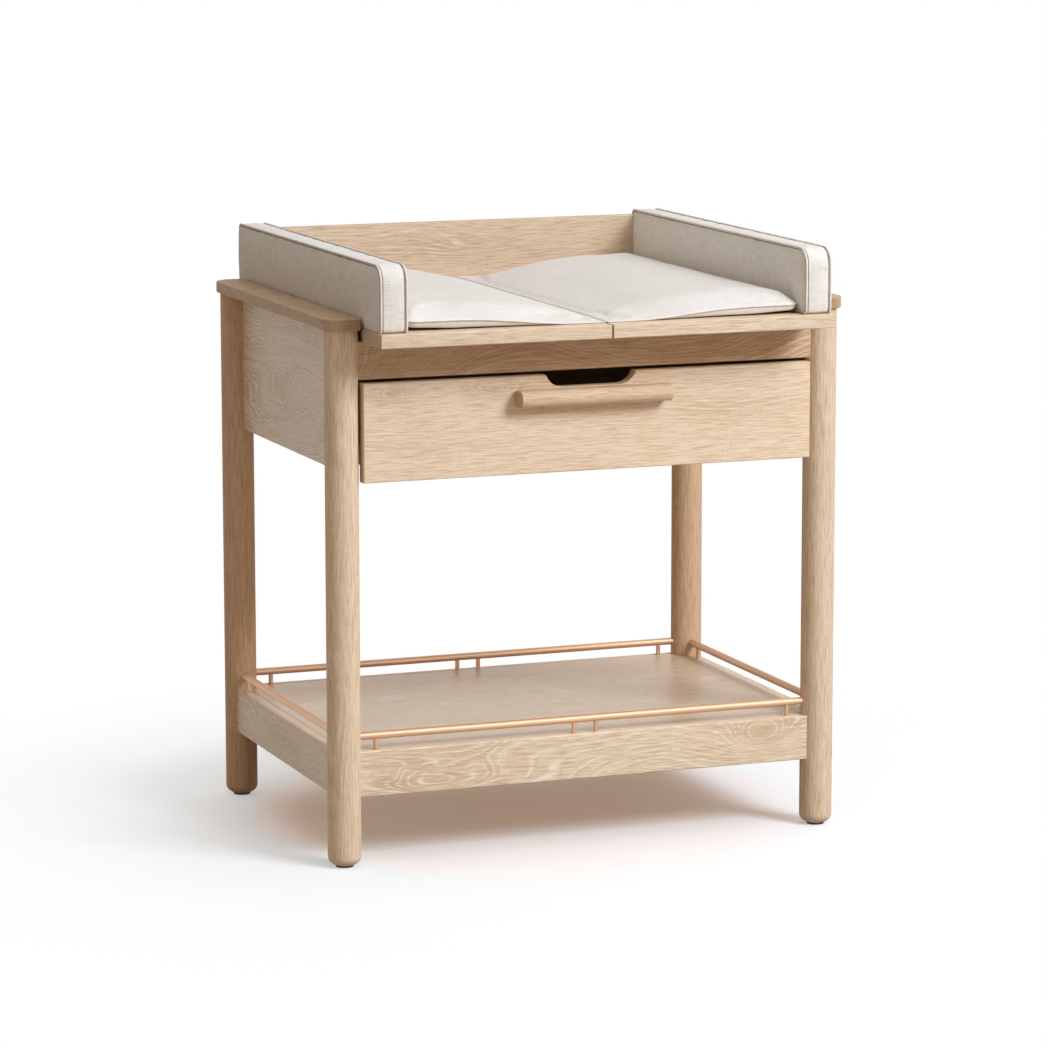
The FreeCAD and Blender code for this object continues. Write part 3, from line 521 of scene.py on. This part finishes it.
def weld(piece, distance=0.0004):
    """Join doubled points and turn every face outwards."""
    shape = bmesh.new()
    shape.from_mesh(piece.data)
    bmesh.ops.remove_doubles(shape, verts=shape.verts, dist=distance)
    bmesh.ops.recalc_face_normals(shape, faces=shape.faces)
    shape.to_mesh(piece.data)
    shape.free()


def box_uv(piece):
    """Lay the weave on a piece in metres, along whichever two axes each face lies in."""
    mesh = piece.data
    layer = mesh.uv_layers.new(name="weave")
    for face in mesh.polygons:
        lengths = [abs(part) for part in face.normal]
        first, second = [axis for axis in (1, 0, 2) if axis != lengths.index(max(lengths))]
        for corner in face.loop_indices:
            point = mesh.vertices[mesh.loops[corner].vertex_index].co
            layer.data[corner].uv = (point[first], point[second])


def puff(piece, held, pressure, most):
    """Blow a cushion up a little as cloth. `held` are the points that stay, and no point
    moves further than `most`."""
    group = piece.vertex_groups.new(name="held")
    group.add(held, 1.0, "ADD")
    rest = [vertex.co.copy() for vertex in piece.data.vertices]
    cloth = piece.modifiers.new("cloth", "CLOTH")
    for key, setting in CLOTH.items():
        setattr(cloth.settings, key, setting)
    cloth.settings.uniform_pressure_force = pressure
    cloth.settings.effector_weights.gravity = 0.0
    cloth.point_cache.frame_start = 1
    cloth.point_cache.frame_end = CLOTH_FRAMES
    scene = bpy.context.scene
    for step in range(1, CLOTH_FRAMES + 1):
        scene.frame_set(step)
    done = piece.evaluated_get(bpy.context.evaluated_depsgraph_get())
    moved = [vertex.co.copy() for vertex in done.data.vertices]
    piece.modifiers.remove(cloth)
    piece.vertex_groups.remove(group)
    for vertex, before, after in zip(piece.data.vertices, rest, moved):
        shift = after - before
        vertex.co = before + shift * min(1.0, most / max(shift.length, 1e-9))
    scene.frame_set(1)


def finish_cushion(piece, material, body, node):
    """What every cushion needs once its shape is final."""
    box_uv(piece)
    smooth(piece.data)
    piece.data.materials.append(material)
    finer = piece.modifiers.new("finer", "SUBSURF")
    finer.levels = finer.render_levels = 1
    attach(piece, body)
    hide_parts(node)


def finish_trim(piece, material, body):
    """What every welt, piping and stitch line needs."""
    box_uv(piece)
    smooth(piece.data)
    piece.data.materials.append(material)
    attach(piece, body)


def shell(name, counts, place):
    """The skin of a box that is divided into `counts` cells, each of its points put where
    `place` says."""
    numbers, points, faces = {}, [], []

    def corner(spot):
        if spot not in numbers:
            numbers[spot] = len(points)
            points.append(place(*[number / count for number, count in zip(spot, counts)]))
        return numbers[spot]

    for axis in range(3):
        first, second = (axis + 1) % 3, (axis + 2) % 3
        for end in (0, counts[axis]):
            for i in range(counts[first]):
                for j in range(counts[second]):
                    face = []
                    for di, dj in ((0, 0), (1, 0), (1, 1), (0, 1)):
                        spot = [0, 0, 0]
                        spot[axis], spot[first], spot[second] = end, i + di, j + dj
                        face.append(corner(tuple(spot)))
                    faces.append(face if end else face[::-1])
    piece = mesh_object(name, points, faces)
    weld(piece)
    return piece


def soften_corner(first, second, radius):
    """Two distances to the edges of a square corner, as they are once it is round."""
    if first >= radius or second >= radius:
        return first, second
    a, b = radius - first, radius - second
    scale = max(a, b) / max(math.hypot(a, b), 1e-9)
    return radius - a * scale, radius - b * scale


def quarter(share):
    """How far a padded edge has swelled, at a share of the way in from its seam."""
    return math.sqrt(1 - (1 - min(1.0, max(0.0, share))) ** 2)


def crowded(share):
    """Rows of points that crowd towards both edges, where the seams are."""
    return share - CROWDING * math.sin(2 * math.pi * share) / (2 * math.pi)


def tube(name, loop, radius, side, sides=8):
    """A round trim, closed, along a loop of points that lies square to `side`."""
    points, faces = [], []
    count = len(loop)
    for number, point in enumerate(loop):
        ahead = (loop[(number + 1) % count] - loop[number - 1]).normalized()
        other = ahead.cross(side).normalized()
        for turn in range(sides):
            angle = 2 * math.pi * turn / sides
            points.append(point + radius * (side * math.cos(angle) + other * math.sin(angle)))
    for number in range(count):
        for turn in range(sides):
            here, ahead = number * sides, (number + 1) % count * sides
            after = (turn + 1) % sides
            faces.append((here + turn, here + after, ahead + after, ahead + turn))
    return mesh_object(name, points, faces)


def make_bolster(side, material, piping, shade_line):
    """A box cushion: two long panels that bulge, a band round the edge between them, and a
    piped seam on each side of the band."""
    node = f"bolster_{side}"
    low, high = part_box(node)
    sign = 1 if side == "right" else -1
    outer = max(abs(low.x), abs(high.x)) - BOLSTER_SEAM_INSET
    inner = outer - BOLSTER_BAND
    length, height = high.y - low.y, high.z - low.z

    def place(u, v, w):
        """A point by its shares of the way out, back and up."""
        v, w = crowded(v), crowded(w)
        across = inner + (outer - inner) * u
        front, bottom = length * v, height * w
        back, top = length - front, height - bottom
        edge = min(front, back, bottom, top)
        for ends in ("front", "back"):
            near = front if ends == "front" else back
            for level in ("bottom", "top"):
                rise = bottom if level == "bottom" else top
                round_one = (ends, level) == ("front", "top")
                radius = BOLSTER_FRONT_TOP if round_one else BOLSTER_CORNER
                if near < radius and rise < radius:
                    near, rise = soften_corner(near, rise, radius)
                    front = near if ends == "front" else length - near
                    bottom = rise if level == "bottom" else height - rise
        if u in (0.0, 1.0):
            inside = edge - BOLSTER_GROOVE
            swell = (BOLSTER_ROLL_SHARE * quarter(inside / BOLSTER_ROLL)
                     + (1 - BOLSTER_ROLL_SHARE) * quarter(inside / BOLSTER_BULGE_REACH))
            bulge = (BOLSTER_OUTER_BULGE if u else BOLSTER_INNER_BULGE) * swell
            if u:
                above_cap = max(0.0, bottom - BOLSTER_CAP_CLEAR)
                bulge = min(bulge, BOLSTER_SEAM_INSET + BOLSTER_CAP_FLARE * above_cap)
            bulge -= GROOVE_DEPTH * math.exp(-(inside / GROOVE_WIDTH) ** 2)
            across += bulge if u else -bulge
        else:
            crown = BOLSTER_BAND_CROWN * 4 * u * (1 - u)
            front -= crown if v == 0.0 else 0.0
            bottom += crown if w == 1.0 else 0.0
        return Vector((sign * across, low.y + front, low.z + bottom))

    counts = [round(size / GRID_STEP) for size in (BOLSTER_BAND, length, height)]
    piece = shell(f"{node}_cushion", counts, place)
    seam_places = (sign * inner, sign * outer)
    rest = [vertex.co.copy() for vertex in piece.data.vertices]
    held = [number for number, spot in enumerate(rest) if spot.z < low.z + BOLSTER_HELD_FOOT
            or min(abs(spot.x - seam) for seam in seam_places) < 1e-4]
    puff(piece, held, BOLSTER_PRESSURE, BOLSTER_SWELL)
    pinned = set(held)
    for vertex in piece.data.vertices:
        if vertex.index not in pinned:
            wave = noise.noise(vertex.co * 14.0 + Vector((7.0 * sign, 0.0, 3.0)))
            vertex.co.x += BOLSTER_WAVE[0] * wave
            vertex.co.z += BOLSTER_WAVE[1] * wave
    finish_cushion(piece, material, node, node)

    rows, levels = counts[1], counts[2]
    spots = ([(row / rows, 0.0) for row in range(rows)]
             + [(1.0, level / levels) for level in range(levels)]
             + [(1 - row / rows, 1.0) for row in range(rows)]
             + [(0.0, 1 - level / levels) for level in range(levels)])
    centre = Vector((0.0, (low.y + high.y) / 2, (low.z + high.z) / 2))
    reach = Vector((0.0, length / 2, height / 2))

    def trim(kind, u, finish):
        """A round trim along a seam."""
        aside, inward, radius = BOLSTER_TRIMS[kind]
        if not u:
            aside = -aside
        loop = [place(u, v, w) for v, w in spots]
        for point in loop:
            point.x += sign * aside
            for axis in (1, 2):
                share = (point[axis] - centre[axis]) / reach[axis]
                point[axis] -= inward * max(-1.0, min(1.0, share * 4))
            point.z = max(point.z, low.z + radius)
        strand = tube(f"{node}_{kind}_{'outer' if u else 'inner'}", loop, radius,
                      Vector((1.0, 0.0, 0.0)))
        finish_trim(strand, finish, node)

    for u in (0.0, 1.0):
        trim("piping", u, piping)
        # the two dark lines beside the piping are painted shade, for the shaded grooves
        trim("panel_shade_line", u, shade_line)
        trim("band_shade_line", u, shade_line)


def along_stops(stops, place):
    """The value at a place, on straight runs between (place, value) stops."""
    for (start, low), (end, high) in zip(stops, stops[1:]):
        if place <= end:
            return low + (high - low) * (place - start) / (end - start)
    return stops[-1][1]


def make_mat(side, material, welting, shade_line):
    """A contoured mat of two panels that meet in a fine welted seam all round."""
    node = f"mat_{side}"
    low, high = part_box(node)
    sign = 1 if side == "right" else -1
    width, length = high.x - low.x, high.y - low.y
    split_x = low.x if sign > 0 else high.x

    def place(u, v, w):
        """A point by its shares of the way out from the split, back and up."""
        u, v = crowded(u), crowded(v)
        across, along = width * u, length * v
        across -= MAT_EDGE_PULL * math.sin(math.pi * v) * u ** 3
        from_side, from_end = width * (1 - u), min(along, length - along)
        if from_side < MAT_CORNER and from_end < MAT_CORNER:
            from_side, from_end = soften_corner(from_side, from_end, MAT_CORNER)
            across = width - from_side
            along = from_end if v < 0.5 else length - from_end
        edge = min(from_side, length * min(v, 1 - v), width * (1 - u))
        thick, seam = along_stops(MAT_THICK, across), along_stops(MAT_SEAM, across)
        if w == 1.0:
            side_rise = 1 - (1 - min(1.0, from_side / MAT_SIDE_REACH)) ** 2.2
            reach = MAT_END_REACH - MAT_END_PLUMP * min(1.0, across / MAT_PLUMP_BY) ** 2
            end_rise = 1 - (1 - min(1.0, from_end / reach)) ** 2
            height = seam + (thick - seam) * side_rise * end_rise
        else:
            quick = quarter(edge / MAT_UNDER_TIP)
            slow = min(1.0, edge / MAT_UNDER_REACH)
            # the round outer corners stand off what the mat lies on
            near_corner = max(0.0, 1 - math.hypot(from_side, from_end) / MAT_LIFT_REACH)
            swift = MAT_UNDER_QUICK - MAT_CORNER_LIFT * near_corner
            height = seam * (1 - swift * quick - (1 - swift) * slow)
        return Vector((split_x + sign * across, low.y + along, low.z + height))

    def flat_place(u, v, w):
        """Both panels come together along the rim."""
        point = place(u, v, w)
        if u == 1.0 or v in (0.0, 1.0):
            point.z = (place(u, v, 0.0).z + place(u, v, 1.0).z) / 2
        return point

    counts = (round(width / GRID_STEP), round(length / GRID_STEP), 1)
    piece = shell(f"{node}_cushion", counts, flat_place)
    held = []
    for vertex in piece.data.vertices:
        from_rim = min(vertex.co.y - low.y, high.y - vertex.co.y,
                       width - abs(vertex.co.x - split_x))
        from_split = abs(vertex.co.x - split_x)
        if from_rim < MAT_RIM_HELD or vertex.normal.z < 0.2 or from_split < MAT_SPLIT_HELD:
            held.append(vertex.index)
    puff(piece, held, MAT_PRESSURE, MAT_SWELL)
    for vertex in piece.data.vertices:
        if vertex.normal.z > 0.3:
            wave = noise.noise(Vector((vertex.co.x * 9.0, vertex.co.y * 6.0, sign * 4.0)))
            from_split = abs(vertex.co.x - split_x)
            vertex.co.z += MAT_WAVE * wave * min(1.0, from_split / MAT_WAVE_FADE)
    finish_cushion(piece, material, node, node)

    columns, rows = counts[0], counts[1]
    rim = ([(column / columns, 0.0) for column in range(columns)]
           + [(1.0, row / rows) for row in range(rows)]
           + [(1 - column / columns, 1.0) for column in range(columns)]
           + [(0.0, 1 - row / rows) for row in range(rows)])
    # the darker line just below the welt is painted shade, for the shaded crease under it
    for kind, radius, drop, finish in (("welt", MAT_WELT, 0.0, welting),
                                       ("seam", MAT_SHADE_LINE_RADIUS, MAT_SHADE_LINE_DROP, shade_line)):
        loop = [flat_place(u, v, 1.0) for u, v in rim]
        for point in loop:
            point.z = max(point.z - drop, low.z + radius)
        strand = tube(f"{node}_{kind}", loop, radius, Vector((0.0, 0.0, 1.0)))
        finish_trim(strand, finish, node)


def make_cushions():
    mat_cloth = linen("mat_cloth", MAT_LINEN, slub=0.35, sheen=0.08)
    bolster_cloth = linen("bolster_cloth", BOLSTER_LINEN, slub=0.6)
    piping_cloth = linen("piping_cloth", PIPING_LINEN, slub=0.4)
    # these two darker linens are painted shade, for the lines laid along the seams
    painted_seam_shade = linen("painted_seam_shade", SEAM_SHADE_LINE, slub=0.3)
    painted_mat_seam_shade = linen("painted_mat_seam_shade", MAT_SHADE_LINE_COLOUR, slub=0.3)
    for side in ("left", "right"):
        make_bolster(side, bolster_cloth, piping_cloth, painted_seam_shade)
        make_mat(side, mat_cloth, piping_cloth, painted_mat_seam_shade)


# ---- floor, light and camera -------------------------------------------------------------------

def make_floor():
    """A pale floor that takes the object's shadow and fades to plain white further out. Near the
    object its warm glow is painted light: it lightens the shadow and warms it, as bounce light
    from the wood would.
    """
    g = Graph("pale_floor")
    place = g.add("TexCoord").outputs["Object"]
    grain = g.noise(place, scale=3.0, detail=3.0)
    paint = g.mix(g.ramp(grain, (0.3, 0.0), (0.7, 1.0)),
                  linear([channel * 0.997 for channel in FLOOR_PAINT]), linear(FLOOR_PAINT))
    reach = g.away_from_origin(place)
    far = g.ramp(g.math("DIVIDE", reach, FLOOR_FADE_SPAN), *FLOOR_FADE)
    rays = g.add("LightPath")
    seen = g.math("MAXIMUM", rays.outputs["Is Camera Ray"], rays.outputs["Is Glossy Ray"])
    seen = g.math("MAXIMUM", seen, rays.outputs["Is Transmission Ray"])
    lit = g.add("BsdfDiffuse", {"Color": g.mix(seen, linear(FLOOR_BOUNCE), paint)})
    share = g.math("MULTIPLY", far, seen)
    # near the object the glow is painted warm bounce light, which lightens the shadow; further
    # out it is plain white
    glow_and_painted_bounce = g.add("Emission", {"Color": g.mix(g.ramp(far, *GLOW_WHITENS),
                                             linear(NEAR_PAINTED_BOUNCE), linear((1.0, 1.0, 1.0)))})
    both = g.add("MixShader", {0: share, 1: lit.outputs[0], 2: glow_and_painted_bounce.outputs[0]})
    g.tree.links.new(both.outputs[0], g.out.inputs["Surface"])
    half = FLOOR_HALF_SIZE
    corners = [(-half, -half, 0), (half, -half, 0), (half, half, 0), (-half, half, 0)]
    floor = mesh_object("floor", corners, [(0, 1, 2, 3)])
    floor.data.materials.append(g.material)


def make_world():
    """Soft warm light from everywhere, which the camera and reflections see as white."""
    world = bpy.data.worlds.new("daylight")
    world.use_nodes = True
    tree = world.node_tree
    tree.nodes.clear()
    rays = tree.nodes.new("ShaderNodeLightPath")
    seen = tree.nodes.new("ShaderNodeMath")
    seen.operation = "MAXIMUM"
    tree.links.new(rays.outputs["Is Camera Ray"], seen.inputs[0])
    tree.links.new(rays.outputs["Is Glossy Ray"], seen.inputs[1])
    clear = tree.nodes.new("ShaderNodeMath")
    clear.operation = "MAXIMUM"
    tree.links.new(seen.outputs[0], clear.inputs[0])
    tree.links.new(rays.outputs["Is Transmission Ray"], clear.inputs[1])
    level = tree.nodes.new("ShaderNodeMapRange")
    level.inputs["To Min"].default_value = SKY_STRENGTH
    level.inputs["To Max"].default_value = 1.0
    tree.links.new(clear.outputs[0], level.inputs["Value"])
    tint = tree.nodes.new("ShaderNodeMix")
    tint.data_type = "RGBA"
    tree.links.new(clear.outputs[0], tint.inputs[0])
    tint.inputs[6].default_value = linear(WARM_SKY)
    tint.inputs[7].default_value = (1.0, 1.0, 1.0, 1.0)
    background = tree.nodes.new("ShaderNodeBackground")
    tree.links.new(tint.outputs[2], background.inputs["Color"])
    tree.links.new(level.outputs[0], background.inputs["Strength"])
    out = tree.nodes.new("ShaderNodeOutputWorld")
    tree.links.new(background.outputs[0], out.inputs["Surface"])
    bpy.context.scene.world = world


def outward(azimuth, elevation):
    """The direction from the object. Azimuth 0 is in front, and 90 on the right."""
    a, e = math.radians(azimuth), math.radians(elevation)
    return Vector((math.sin(a) * math.cos(e), -math.cos(a) * math.cos(e), math.sin(e)))


def make_lamp(name, azimuth, elevation, distance, size, power):
    """A soft square lamp that looks at the object."""
    away = outward(azimuth, elevation)
    data = bpy.data.lights.new(name, "AREA")
    data.shape = "SQUARE"
    data.size = size
    data.energy = power
    data.color = LAMP_TINT
    lamp = bpy.data.objects.new(name, data)
    lamp.location = Vector(LAMP_TARGET) + away * distance
    lamp.rotation_mode = "QUATERNION"
    lamp.rotation_quaternion = (-away).to_track_quat("-Z", "Y")
    bpy.context.scene.collection.objects.link(lamp)


def make_camera():
    back = outward(CAMERA_AZIMUTH, CAMERA_ELEVATION)
    data = bpy.data.cameras.new("camera")
    data.lens = CAMERA_LENS
    data.sensor_width = SENSOR_WIDTH
    data.clip_end = 300.0
    camera = bpy.data.objects.new("camera", data)
    turn = (-back).to_track_quat("-Z", "Y").to_matrix().to_4x4()
    roll = Matrix.Rotation(math.radians(-CAMERA_ROLL), 4, "Z")
    camera.matrix_world = Matrix.Translation(CAMERA_PLACE) @ turn @ roll
    bpy.context.scene.collection.objects.link(camera)
    bpy.context.scene.camera = camera


dress_cad()
make_cushions()
make_floor()
make_world()
for lamp_name, lamp_setting in LAMPS.items():
    make_lamp(lamp_name, *lamp_setting)
make_camera()
bpy.context.scene.view_settings.view_transform = "Standard"
